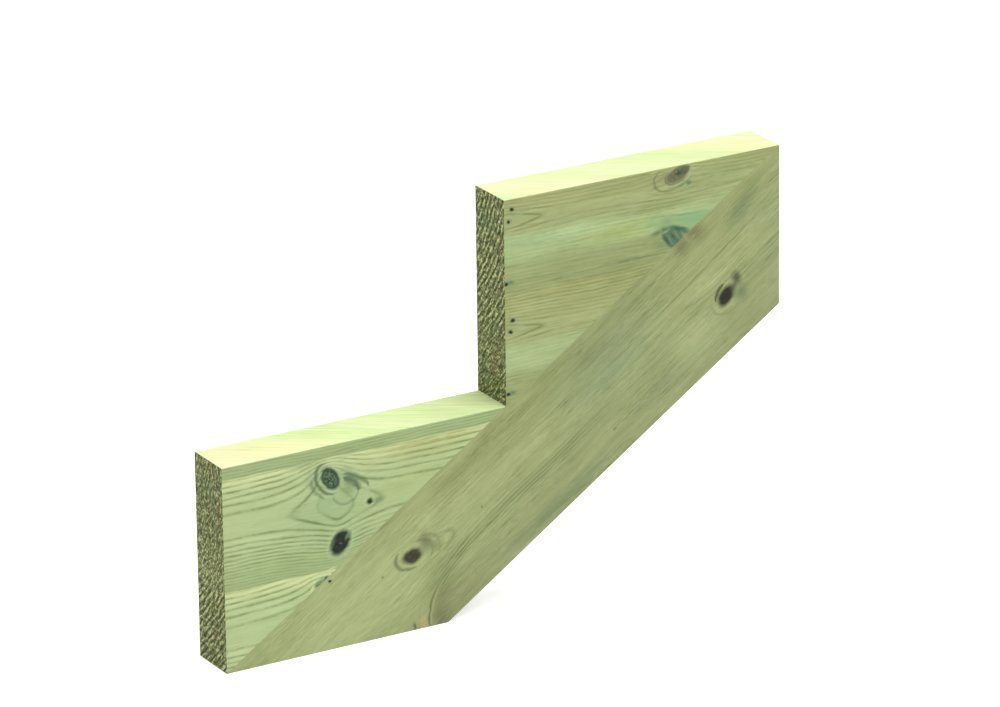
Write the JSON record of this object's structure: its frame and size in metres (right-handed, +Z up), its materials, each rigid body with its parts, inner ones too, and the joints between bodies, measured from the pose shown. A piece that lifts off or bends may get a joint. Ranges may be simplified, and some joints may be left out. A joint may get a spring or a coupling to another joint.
{
  "type": "stair stringer",
  "caption": "Sawtooth side member of a short outdoor stair, with triangular step blocks fixed along a sloping board, in green treated pine.",
  "frame": {"origin": "on the ground at mid thickness, straight under the second riser, which is the bottom centre of the bounding box", "axes": "+X along the run in the direction of climbing, +Y across the thickness, +Z up"},
  "size_m": [0.52, 0.045, 0.35],
  "materials": {
    "board_pine": "planed pine, pressure-treated green, unsealed",
    "block_pine": "planed pine, pressure-treated green, unsealed",
    "screw_steel": "dull grey-green outdoor coating"
  },
  "bodies": {
    "root": {"carriage_board": "board_pine", "lower_step_block": "block_pine", "upper_step_block": "block_pine", "block_screws": "screw_steel"}
  },
  "joints": []
}
